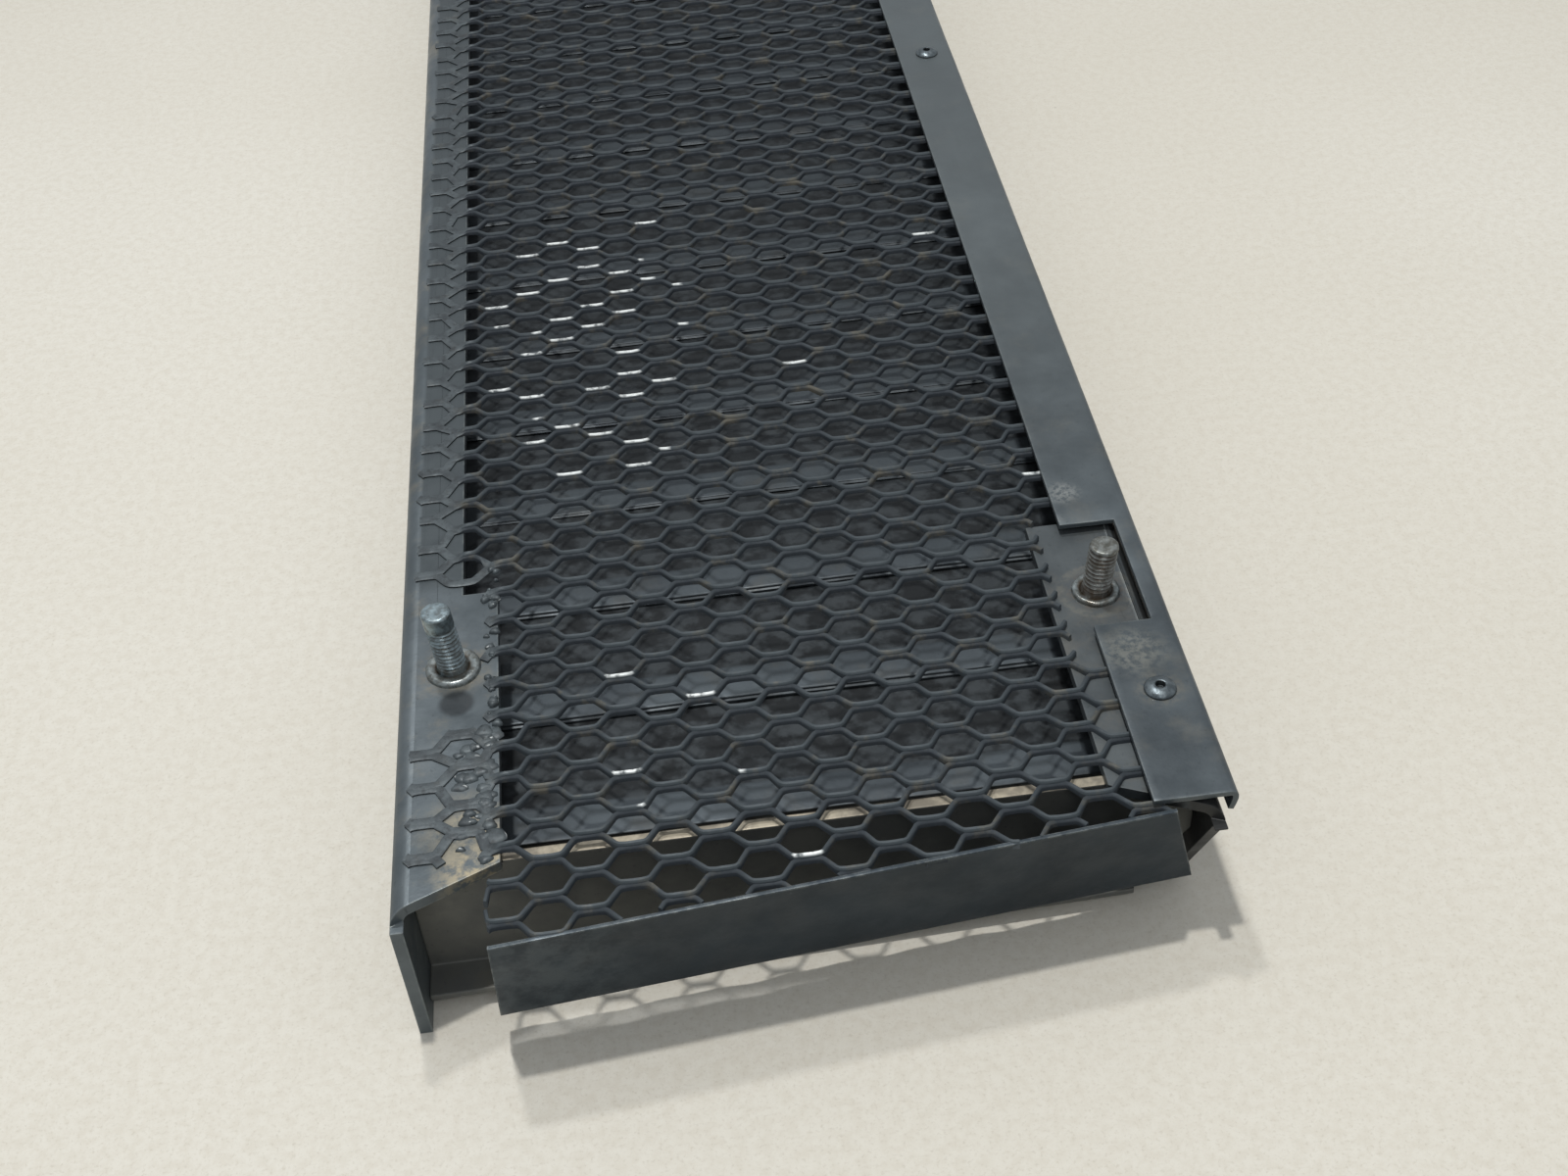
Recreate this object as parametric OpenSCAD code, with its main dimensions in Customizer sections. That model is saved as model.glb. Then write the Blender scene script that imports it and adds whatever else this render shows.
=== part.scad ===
// Louvred screen panel: two folded rails carry a row of bent louvre blades.
// A sheet of hexagonal expanded metal lies on top, clamped at the right by a riveted cover strip.
// Threaded studs stand up from the rails, so that the panel can be bolted behind an opening.
// Millimetres. X is the width, Y the length, Z is up; the origin is on the bench under the middle.

/* [Overall] */
// Width over the left rail and the cover strip
panel_w = 156; // [148:1:200]
// Length of the rails
panel_l = 592; // [586:1:700]
// Height of the rails from the bench to the top of their flanges
rail_h = 34; // [32:1:50]

/* [Rails] */
// Sheet thickness of the rails
rail_t = 2.5; // [2:0.1:3]
// Width of the left flange between its stud pads
left_flange = 13.3; // [10:0.1:16]
// Width of the left flange where it spreads into a stud pad
left_pad = 20.6; // [18:0.1:24]
// Width of the right flange between its stud pads
right_flange = 11; // [9:0.1:14]
// Width of the right flange where it spreads into a stud pad
right_pad = 20; // [18:0.1:24]
// Distance from a rail's end to the far side of its stud pad
pad_end = 85; // [82:1:100]
// Outside radius of the fold between web and flange
fold_r = 4; // [3.5:0.1:6]
// How far the inner corner of each flange is cut back at the rail's end
corner_cut = 9.5; // [4:0.5:10]
// How far the bottom of the right web is cut back at its ends
web_rake = 18; // [6:1:24]

/* [Cover strip] */
// Width of the cover strip
strip_w = 16; // [14:0.1:18]
// Sheet thickness of the cover strip
strip_t = 1.2; // [1:0.1:1.5]
// Depth of the strip's down-turned outer edge
strip_lip = 5; // [3:0.1:8]
// Distance from the rail's end to the strip's end
strip_inset = 3.4; // [2:0.1:6]
// Width of the notch that clears each right-hand stud
notch_w = 12; // [11:0.1:12.4]
// Distance from the rail's end to the near side of a notch
notch_start = 50.5; // [48:0.5:52]
// Length of a notch
notch_l = 31; // [28:1:34]

/* [Mesh] */
// Thickness of the expanded metal
mesh_t = 1.5; // [1:0.1:2]
// Distance between neighbouring columns of cells
col_step = 15.7; // [15:0.1:18]
// Half the distance between neighbouring cells of one column
row_step = 8.8; // [8:0.1:10]
// Width of a strand between two cells
strand_w = 3.2; // [2.4:0.1:4]
// Rise of a row of cells for each millimetre across the panel
row_skew = 0.03; // [0:0.005:0.035]

/* [Lips] */
// Sheet thickness of the two end lips
lip_t = 1.5; // [1:0.1:2]
// Depth of a lip's face
lip_deep = 25.5; // [18:0.5:26]
// Angle by which a lip leans in under the panel
lip_lean = 9.5; // [4:0.5:10]
// How much further a lip stands out at one end than at the other
lip_rise = 11.2; // [6:0.2:11.4]

/* [Louvres] */
// Number of louvre blades
blade_n = 16; // [10:1:16]
// Distance from one blade to the next
blade_pitch = 33; // [31:0.5:33]
// Sheet thickness of a blade
blade_t = 1.2; // [1:0.1:1.5]
// Width of the flat top of a blade
blade_flat = 8.5; // [6:0.1:10]
// Depth of the blade tops below the top of the flanges
blade_depth = 16; // [10:1:17]
// Length of a blade's sloping leg, measured level
leg_run = 29.5; // [20:0.5:30]
// Drop of a blade's sloping leg
leg_drop = 3.2; // [3:0.1:9]

/* [Studs and rivets] */
// Thread diameter of the studs
stud_d = 6; // [5:0.5:6.5]
// Height of a left-hand stud above its flange
stud_left_h = 16; // [14:0.5:30]
// Height of a right-hand stud above its flange
stud_right_h = 12.5; // [11:0.5:30]
// Distance from the rail's end to a stud
stud_y = 63; // [61:0.5:65]
// Distance between the left-hand and the right-hand studs
stud_span = 132; // [128:0.5:150]
// Diameter of the collar at the root of a stud
collar_d = 10.8; // [9:0.1:11]
// Diameter of a rivet's head
rivet_d = 6.4; // [5:0.1:7]
// Distance from the rail's end to the first rivet
rivet_y = 31; // [24:1:38]

/* [Hidden] */
blade_names = [for (i = [1 : blade_n]) str("louvre_", i < 10 ? "0" : "", i)];
fixed_names = [
    "left_rail", "right_rail", "cover_strip", "mesh_screen", "front_lip", "rear_lip",
    "front_crossbar", "rear_crossbar",
    "stud_front_left", "stud_front_right", "stud_rear_left", "stud_rear_right",
    "collar_front_left", "collar_front_right", "collar_rear_left", "collar_rear_right",
    "rivets"
];

dark_steel = "#4a5257";
satin_steel = "#6b7478";
inner_steel = "#43494b";
zinc = "#aebbc2";

round_fn = 64;

// Main planes of the panel.
left = -panel_w / 2;
right = panel_w / 2;
near = -panel_l / 2;
strip_over = 2.5;
end_step = 1.3;
web_right = right - strip_over;
inner_left = left + rail_t;
inner_right = web_right - rail_t;

// Studs, their holes in the pads and their collars.
stud_x_left = left + 11.5;
stud_x_right = stud_x_left + stud_span;
collar_h = 1.6;
root_d = stud_d + 1;
root_taper = 0.6;

// Rivets.
rivet_x = right - 7.6;
shank_d = 3.2;
bulb_d = 5;
bulb_h = 1.2;
core_d = 1.8;
rivet_ys = [near + rivet_y, 0, -near - rivet_y];

// Outline of the expanded metal, with the gaps that clear the studs.
mesh_left = left + 3;
mesh_right = web_right - fold_r;
mesh_end = 9.9;
gap_near = 45;
gap_far = 88;
gap_left = left + 17.5;
gap_right = right - 20.5;
cell_left = left + 13.6;

// Crossbars: an upright wall with a foot that points out of the panel.
wall_y = 12.4;
wall_t = 2.4;
wall_drop = 1.6;
foot_gap = 3;
foot_t = 1.5;
foot_w = 7.5;
foot_right = right - 16;

// End lips.
lip_left = left + 18.3;
lip_right = right - 12;
lip_skew = lip_rise / (lip_right - lip_left);
lip_drop = 0.5;
lip_flare = 5.9;
lip_spread = 1.5;
lip_tuck = 6;
lip_return = 5;
lip_gap = 1.8;

// Louvre blades.
first_blade = 28;
blade_nose = 2.4;

// Draws its children at the near end and mirrored at the far end.
module mirrored_ends() {
    children();
    mirror([0, 1, 0]) children();
}

// Cross-section of a rail with its web at x = 0: web, round fold and flange.
module rail_profile(flange) {
    square([rail_t, rail_h - fold_r]);
    translate([fold_r, rail_h - rail_t]) square([flange - fold_r, rail_t]);
    difference() {
        intersection() {
            translate([fold_r, rail_h - fold_r]) circle(r = fold_r, $fn = round_fn);
            translate([0, rail_h - fold_r]) square([fold_r, fold_r]);
        }
        translate([fold_r, rail_h - fold_r]) circle(r = fold_r - rail_t, $fn = round_fn);
    }
}

// A rail with its web at x = 0 and its flange towards +X.
module rail(flange, pad, stud_x, rake) {
    difference() {
        union() {
            translate([0, -near, 0]) rotate([90, 0, 0])
                linear_extrude(height = panel_l) rail_profile(flange);
            mirrored_ends()
                translate([flange - 1, near, rail_h - rail_t]) cube([pad - flange + 1, pad_end, rail_t]);
        }
        mirrored_ends() {
            translate([0, near, rail_h - rail_t - 1]) linear_extrude(height = rail_t + 2)
                polygon([[-1, -1], [pad + 1, -1], [pad + 1, corner_cut * (pad + 1) / pad + end_step], [-1, end_step]]);
            translate([stud_x, near + stud_y, rail_h - rail_t - 1])
                cylinder(d = root_d, h = rail_t + 2, $fn = round_fn);
            if (rake > 0) {
                translate([-1, near, 0]) rotate([90, 0, 90]) linear_extrude(height = rail_t + 2)
                    polygon([[-1, -1], [rake, -1], [end_step, rail_h - fold_r], [-1, rail_h - fold_r]]);
            }
        }
    }
}

module left_rail() {
    color(satin_steel) translate([left, 0, 0]) rail(left_flange, left_pad, stud_x_left - left, 0);
}

module right_rail() {
    color(dark_steel)
        difference() {
            translate([web_right, 0, 0]) mirror([1, 0, 0])
                rail(right_flange, right_pad, web_right - stud_x_right, web_rake);
            for (y = rivet_ys) {
                translate([rivet_x, y, rail_h - rail_t - 1]) cylinder(d = shank_d, h = rail_t + 2, $fn = round_fn);
            }
        }
}

// The cover strip lies on the mesh and its outer edge is turned down past the rail.
module cover_strip() {
    z0 = rail_h + mesh_t;
    strip_l = panel_l - 2 * strip_inset;
    color(dark_steel)
        difference() {
            union() {
                translate([right - strip_w, -strip_l / 2, z0]) cube([strip_w, strip_l, strip_t]);
                translate([right - strip_t, -strip_l / 2, z0 + strip_t - strip_lip])
                    cube([strip_t, strip_l, strip_lip]);
            }
            mirrored_ends()
                translate([right - strip_w - 1, near + notch_start, z0 - 1])
                    cube([notch_w + 1, notch_l, strip_t + 2]);
            for (y = rivet_ys) {
                translate([rivet_x, y, z0 - 1]) cylinder(d = shank_d, h = strip_t + 2, $fn = round_fn);
            }
        }
}

// Expanded metal: flat hexagonal cells, each [x, y] centre kept where the whole cell fits.
cell_r = col_step * 2 / 3;
cell_scale = 1 - strand_w / (2 * row_step);
col_n = floor(panel_w / col_step);
row_n = ceil(panel_l / (4 * row_step)) + 1;
gap_mid = -near - (gap_near + gap_far) / 2;
gap_half = (gap_far - gap_near) / 2 + row_step;

function cell_at(u, k) =
    let (x = cell_left + u * col_step)
    [x, (2 * k + u % 2) * row_step + row_skew * x];
function beside_gap(c) = abs(abs(c.y) - gap_mid) < gap_half;
function clears_gap(c) = c.x - cell_r > gap_left && c.x + cell_r < gap_right;
function end_edge(x) = abs(x - cell_r) + cell_r < -lip_left ? edge_y(x) + 0.8 : near + corner_cut + 2;
function clears_ends(c) =
    let (s = c.y < 0 ? 1 : -1)
    s * c.y - row_step > end_edge(s * c.x + cell_r);
function clears_rivets(c) = min([for (y = rivet_ys) norm(c - [rivet_x, y])]) > cell_r + shank_d;
function cell_fits(c) = clears_ends(c) && clears_rivets(c) && (clears_gap(c) || !beside_gap(c));

module cell_hole() {
    polygon([
        for (i = [0 : 5])
            let (side = i % 3 == 0 ? 0 : (i < 3 ? 1 : -1))
            [cell_scale * cell_r * cos(60 * i), cell_scale * row_step * side]
    ]);
}

// The sheet's near edge runs out of square along the lip.
function edge_y(x) = near - mesh_end + lip_gap + lip_skew * (x - lip_left);
function near_edge(x) = [x, edge_y(x)];

// The right-hand and the left-hand side of the outline from the near end to the middle.
right_side = [
    [mesh_right, near + strip_inset],
    [mesh_right, near + gap_near],
    [gap_right, near + gap_near],
    [gap_right, near + gap_far],
    [mesh_right, near + gap_far]
];
left_side = [
    [mesh_left, near + corner_cut],
    [mesh_left, near + gap_near],
    [gap_left, near + gap_near],
    [gap_left, near + gap_far],
    [mesh_left, near + gap_far]
];
function mirrored(points) = [for (p = points) [p.x, -p.y]];
function reversed(points) = [for (i = [len(points) - 1 : -1 : 0]) points[i]];
sheet_outline = concat(
    [[lip_left, near + corner_cut], near_edge(lip_left), near_edge(lip_right), [lip_right, near + strip_inset]],
    right_side,
    reversed(mirrored(right_side)),
    [[-lip_left, -near - strip_inset], -near_edge(lip_left), -near_edge(lip_right), [-lip_right, -near - corner_cut]],
    mirrored(left_side),
    reversed(left_side)
);

module mesh_screen() {
    color(dark_steel)
        translate([0, 0, rail_h]) linear_extrude(height = mesh_t)
            difference() {
                polygon(sheet_outline);
                for (y = rivet_ys) {
                    translate([rivet_x, y]) circle(d = shank_d, $fn = round_fn);
                }
                for (u = [0 : col_n - 1]) {
                    for (k = [-row_n : row_n]) {
                        if (cell_fits(cell_at(u, k))) translate(cell_at(u, k)) cell_hole();
                    }
                }
            }
}

// An end lip: a face that leans in, hangs from a tuck under the mesh and is folded back at its foot.
module lip() {
    face_l = lip_right - lip_left;
    z_top = rail_h + mesh_t - lip_drop;
    translate([lip_left, near - mesh_end, 0]) multmatrix([[1, 0, 0, 0], [lip_skew, 1, 0, 0], [0, 0, 1, 0]]) {
        translate([left_pad + left - lip_left, 1, rail_h - lip_t])
            cube([web_right - right_pad - left_pad - left, lip_tuck - 1, lip_t]);
        translate([0, 0, z_top]) rotate([lip_lean, 0, 0]) {
            translate([0, lip_t, 0]) rotate([90, 0, 0]) linear_extrude(height = lip_t)
                polygon([[0, 0], [face_l, 0], [face_l + lip_flare, -lip_deep], [-lip_spread, -lip_deep]]);
            translate([-lip_spread, 0, -lip_deep]) cube([face_l + lip_spread, lip_return, lip_t]);
        }
    }
}
module front_lip() {
    color(dark_steel) lip();
}
module rear_lip() {
    color(dark_steel) rotate([0, 0, 180]) lip();
}

// A crossbar closes the end of the panel behind the lip and holds the rails apart.
// Its wall fits between the webs and the folds and rises between the pads; its foot points outwards.
module crossbar() {
    soft = fold_r - rail_t;
    under = rail_h - rail_t;
    wall_top = rail_h - wall_drop;
    translate([0, near + wall_y + wall_t, 0]) rotate([90, 0, 0]) linear_extrude(height = wall_t)
        polygon([
            [inner_left, foot_gap], [foot_right, foot_gap], [inner_right, rail_h / 2],
            [inner_right, under - soft], [inner_right - soft, under],
            [web_right - right_pad, under], [web_right - right_pad, wall_top],
            [left + left_pad, wall_top], [left + left_pad, under],
            [inner_left + soft, under], [inner_left, under - soft]
        ]);
    toe = wall_y - foot_w;
    translate([0, near, foot_gap]) linear_extrude(height = foot_t)
        polygon([
            [inner_left, toe], [foot_right, toe + row_skew * (foot_right - inner_left)],
            [foot_right, wall_y + wall_t / 2], [inner_left, wall_y + wall_t / 2]
        ]);
}
module front_crossbar() {
    color(inner_steel) crossbar();
}
module rear_crossbar() {
    color(inner_steel) mirror([0, 1, 0]) crossbar();
}

// A louvre blade: turned-down nose, flat top and a leg that slopes down under the next blade.
// The first blade keeps a plain edge in place of the nose.
module blade(i) {
    back = blade_flat + leg_run;
    nose = i == 1 ? [[0, -blade_t]] : [[blade_t, -blade_t], [blade_t, -blade_nose], [0, -blade_nose]];
    color(inner_steel)
        translate([inner_left, near + first_blade + (i - 1) * blade_pitch, rail_h - blade_depth])
            rotate([90, 0, 90]) linear_extrude(height = inner_right - inner_left)
                polygon(concat(
                    [[0, 0], [blade_flat, 0], [back, -leg_drop], [back, -leg_drop - blade_t], [blade_flat, -blade_t]],
                    nose
                ));
}

// A stud stands in its pad on a thicker root, flush with the pad's underside, and has a chamfered tip.
module stud(x, h) {
    r = stud_d / 2;
    root_top = rail_t + collar_h;
    color(zinc)
        translate([x, near + stud_y, rail_h - rail_t]) rotate_extrude($fn = round_fn)
            polygon([
                [0, 0], [root_d / 2, 0], [root_d / 2, root_top], [r, root_top + root_taper],
                [r, rail_t + h - 0.8], [r - 0.8, rail_t + h], [0, rail_t + h]
            ]);
}

// The round collar at a stud's root.
module collar(x) {
    r = root_d / 2;
    color(zinc)
        translate([x, near + stud_y, rail_h]) rotate_extrude($fn = round_fn)
            polygon([
                [r, 0], [collar_d / 2, 0], [collar_d / 2, collar_h / 2],
                [collar_d / 2 - collar_h / 2, collar_h], [r, collar_h]
            ]);
}
module stud_front_left() {
    stud(stud_x_left, stud_left_h);
}
module stud_front_right() {
    stud(stud_x_right, stud_right_h);
}
module stud_rear_left() {
    mirror([0, 1, 0]) stud(stud_x_left, stud_left_h);
}
module stud_rear_right() {
    mirror([0, 1, 0]) stud(stud_x_right, stud_right_h);
}
module collar_front_left() {
    collar(stud_x_left);
}
module collar_front_right() {
    collar(stud_x_right);
}
module collar_rear_left() {
    mirror([0, 1, 0]) collar(stud_x_left);
}
module collar_rear_right() {
    mirror([0, 1, 0]) collar(stud_x_right);
}

// Pop rivets through strip, mesh and flange: domed head with a hollow middle, shank and bulb.
module rivets() {
    top = rail_t + mesh_t + strip_t;
    color(zinc)
        for (y = rivet_ys) {
            translate([rivet_x, y, rail_h - rail_t]) rotate_extrude($fn = round_fn)
                polygon([
                    [0, -bulb_h], [bulb_d / 2, -bulb_h], [bulb_d / 2, 0], [shank_d / 2, 0], [shank_d / 2, top],
                    [rivet_d / 2, top], [rivet_d / 2 - 0.3, top + 0.6], [rivet_d / 2 - 1.1, top + 1.2],
                    [core_d / 2, top + 1.4], [core_d / 2, top - 1], [0, top - 1]
                ]);
        }
}

left_rail();
right_rail();
cover_strip();
mesh_screen();
front_lip();
rear_lip();
front_crossbar();
rear_crossbar();
stud_front_left();
stud_front_right();
stud_rear_left();
stud_rear_right();
collar_front_left();
collar_front_right();
collar_rear_left();
collar_rear_right();
rivets();
for (i = [1 : blade_n]) blade(i);
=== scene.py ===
"""Looks for the louvred screen panel: real-pitch expanded metal, threaded studs, worn sheet steel."""
import math
import random

import bpy
import numpy as np
from mathutils import Matrix, Vector


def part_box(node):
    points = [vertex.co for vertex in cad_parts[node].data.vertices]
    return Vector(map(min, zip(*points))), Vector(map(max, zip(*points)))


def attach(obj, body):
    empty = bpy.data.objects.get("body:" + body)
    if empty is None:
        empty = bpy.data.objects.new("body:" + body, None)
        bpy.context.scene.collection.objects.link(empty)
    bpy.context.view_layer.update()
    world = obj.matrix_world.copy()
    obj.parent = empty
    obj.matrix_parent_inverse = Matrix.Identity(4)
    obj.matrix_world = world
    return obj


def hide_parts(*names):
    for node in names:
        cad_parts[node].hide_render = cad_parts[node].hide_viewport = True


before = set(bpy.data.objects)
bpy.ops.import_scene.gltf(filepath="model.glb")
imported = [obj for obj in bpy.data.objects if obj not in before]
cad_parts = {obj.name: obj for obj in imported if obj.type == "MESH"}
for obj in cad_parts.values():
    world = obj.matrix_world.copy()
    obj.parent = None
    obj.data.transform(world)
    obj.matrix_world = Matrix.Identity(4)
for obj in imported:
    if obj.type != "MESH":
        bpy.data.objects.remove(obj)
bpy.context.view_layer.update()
MM = 0.001  # a millimetre in metres

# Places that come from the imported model, in millimetres.
lo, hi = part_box("left_rail")
LEFT, NEAR, TOP = lo.x / MM, lo.y / MM, hi.z / MM
WIDTH = round(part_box("cover_strip")[1].x / MM - LEFT)
LENGTH = -2 * NEAR

# Places read from the photo, in millimetres from the left edge, the near end and the flanges' top.
STUD_LEFT, STUD_RIGHT = (11.5, 63), (143.5, 63)
RIVET_X, RIVET_END = 148.4, 31.0
LIP_LEFT, LIP_Y = 18.3, -9.9  # the left end of the lip's top edge
LIP_SKEW = 0.0891  # how far the lip runs out of square, per millimetre across


def place(x, y, z=0.0):
    """A point measured from the left edge, the near end and the top of the flanges, in metres."""
    return ((x + LEFT) * MM, (y + NEAR) * MM, (z + TOP) * MM)


# ---------------------------------------------------------------- camera
PHOTO_WIDTH, PHOTO_FOCAL = 1600, 1974.6  # both in the photo's pixels
SENSOR = 36
CAMERA_AT = (61.2, -222.6, 272.1)
CAMERA_RIGHT, CAMERA_UP = (0.9917, -0.1153, -0.0564), (0.1193, 0.6655, 0.7368)

cam = bpy.data.objects.new("camera", bpy.data.cameras.new("camera"))
bpy.context.scene.collection.objects.link(cam)
right = Vector(CAMERA_RIGHT).normalized()
up = Vector(CAMERA_UP)
up = (up - right * up.dot(right)).normalized()
back = right.cross(up)
pose = Matrix((right, up, back)).transposed().to_4x4()
pose.translation = Vector(place(*CAMERA_AT))
cam.matrix_world = pose
cam.data.sensor_width = SENSOR
cam.data.lens = PHOTO_FOCAL * SENSOR / PHOTO_WIDTH
cam.data.clip_start = 0.01
bpy.context.scene.camera = cam

# ---------------------------------------------------------------- node helpers


class Nodes:
    """Builds one node-based material."""

    def __init__(self, name):
        self.mat = bpy.data.materials.new(name)
        self.mat.use_nodes = True
        self.tree = self.mat.node_tree
        self.shader = self.tree.nodes["Principled BSDF"]
        self.object_coords = self.tree.nodes.new("ShaderNodeTexCoord").outputs["Object"]

    def link(self, a, b):
        self.tree.links.new(a, b)

    def put(self, socket, value):
        """Links an output to the socket, or sets the socket to a plain value."""
        if isinstance(value, bpy.types.NodeSocket):
            self.link(value, socket)
        else:
            socket.default_value = value

    def noise(self, scale, detail, rough, stretch=(1, 1, 1), seed=0.0):
        """Noise over the object's own coordinates, shifted by the seed."""
        m = self.tree.nodes.new("ShaderNodeMapping")
        m.inputs["Scale"].default_value = stretch
        m.inputs["Location"].default_value = (seed, seed * 0.7, seed * 1.3)
        self.link(self.object_coords, m.inputs["Vector"])
        n = self.tree.nodes.new("ShaderNodeTexNoise")
        n.inputs["Scale"].default_value = scale
        n.inputs["Detail"].default_value = detail
        n.inputs["Roughness"].default_value = rough
        self.link(m.outputs["Vector"], n.inputs["Vector"])
        return n.outputs["Fac"]

    def ramp(self, value, a, b, out_a=0.0, out_b=1.0):
        """Eases from one output to the other while the value goes from a to b, and holds beyond them."""
        n = self.tree.nodes.new("ShaderNodeMapRange")
        n.interpolation_type = "SMOOTHSTEP"
        self.put(n.inputs["Value"], value)
        for key, v in zip(("From Min", "From Max", "To Min", "To Max"), (a, b, out_a, out_b)):
            n.inputs[key].default_value = v
        return n.outputs["Result"]

    def math(self, op, a, b=0.0):
        n = self.tree.nodes.new("ShaderNodeMath")
        n.operation = op
        self.put(n.inputs[0], a)
        self.put(n.inputs[1], b)
        return n.outputs[0]

    def times(self, *factors):
        """The product of two or more values."""
        product = factors[0]
        for factor in factors[1:]:
            product = self.math("MULTIPLY", product, factor)
        return product

    def mix(self, factor, a, b):
        """Colour a where the factor is 0 and colour b where it is 1."""
        n = self.tree.nodes.new("ShaderNodeMix")
        n.data_type = "RGBA"
        self.put(n.inputs["Factor"], factor)
        for key, v in (("A", a), ("B", b)):
            socket = [s for s in n.inputs if s.name == key and s.type == "RGBA"][0]
            self.put(socket, v if isinstance(v, bpy.types.NodeSocket) else (*v, 1))
        return [s for s in n.outputs if s.type == "RGBA"][0]

    def attribute(self, name):
        """A value that the mesh holds for each of its points."""
        n = self.tree.nodes.new("ShaderNodeAttribute")
        n.attribute_name = name
        return n.outputs["Fac"]

    def edges(self, radius):
        """High where the surface turns within the radius."""
        flat, sharp = 0.995, 0.86  # cosine of the turn
        b = self.tree.nodes.new("ShaderNodeBevel")
        b.samples = 4
        b.inputs["Radius"].default_value = radius
        g = self.tree.nodes.new("ShaderNodeNewGeometry")
        d = self.tree.nodes.new("ShaderNodeVectorMath")
        d.operation = "DOT_PRODUCT"
        self.link(b.outputs["Normal"], d.inputs[0])
        self.link(g.outputs["True Normal"], d.inputs[1])
        return self.ramp(d.outputs["Value"], flat, sharp)

    def up_facing(self):
        """1 on level surfaces that face up, 0 on upright ones."""
        n = self.tree.nodes.new("ShaderNodeSeparateXYZ")
        g = self.tree.nodes.new("ShaderNodeNewGeometry")
        self.link(g.outputs["Normal"], n.inputs[0])
        return n.outputs["Z"]

    def axis(self, name):
        """One of the object's coordinates, in metres."""
        n = self.tree.nodes.new("ShaderNodeSeparateXYZ")
        self.link(self.object_coords, n.inputs[0])
        return n.outputs[name]

    def zone(self, name, start, end):
        """0 before the start and 1 past the end along one axis, in millimetres."""
        return self.ramp(self.axis(name), start * MM, end * MM)

    def from_middle(self, start, end):
        """The same for the distance from the middle of the panel's length."""
        return self.ramp(self.math("ABSOLUTE", self.axis("Y")), start * MM, end * MM)

    def near_point(self, x, y, inner, outer):
        """1 close to a vertical line through x, y and 0 beyond the outer radius, in metres."""
        flat = self.tree.nodes.new("ShaderNodeVectorMath")
        flat.operation = "MULTIPLY"
        self.link(self.object_coords, flat.inputs[0])
        flat.inputs[1].default_value = (1, 1, 0)
        d = self.tree.nodes.new("ShaderNodeVectorMath")
        d.operation = "DISTANCE"
        self.link(flat.outputs[0], d.inputs[0])
        d.inputs[1].default_value = (x, y, 0)
        return self.ramp(d.outputs["Value"], outer, inner)

    def middle_of_length(self):
        """1 along the middle of the panel, fading out towards its two ends."""
        return self.from_middle(250, 90)

    def bump(self, height, distance, strength, chain=None):
        """A normal tilted by the height, on top of the chain's normal where there is one."""
        n = self.tree.nodes.new("ShaderNodeBump")
        n.inputs["Distance"].default_value = distance
        n.inputs["Strength"].default_value = strength
        self.link(height, n.inputs["Height"])
        if chain is not None:
            self.link(chain, n.inputs["Normal"])
        return n.outputs["Normal"]

    def done(self, colour, roughness, metallic, normal):
        """Plugs the results into the shader and returns the material."""
        results = {"Base Color": colour, "Roughness": roughness, "Metallic": metallic, "Normal": normal}
        for key, value in results.items():
            self.put(self.shader.inputs[key], value)
        return self.mat


def srgb(r, g, b):
    """A colour read from the photo, 0 to 255, as linear values."""
    def lin(c):
        c /= 255
        return c / 12.92 if c <= 0.04045 else ((c + 0.055) / 1.055) ** 2.4
    return (lin(r), lin(g), lin(b))


EDGE_REACH = 0.0006  # metres over which an edge is rubbed


def add_mark(n, colour, mark, seed):
    """Paints a local mark round a point: ragged unless its grain is 0, and open inside if it has a hole."""
    cover = n.near_point(*mark["at"], mark["inner"], mark["outer"])
    if "hole" in mark:
        hole = n.near_point(*mark["at"], mark["hole"] * 0.8, mark["hole"])
        cover = n.times(cover, n.math("SUBTRACT", 1.0, hole))
    grain = mark.get("grain", 420)
    if grain:
        cover = n.times(cover, n.ramp(n.noise(grain, 5, 0.7, seed=seed + 13), 0.38, 0.6))
    return n.mix(n.times(cover, mark["amount"]), colour, mark["colour"])


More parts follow.
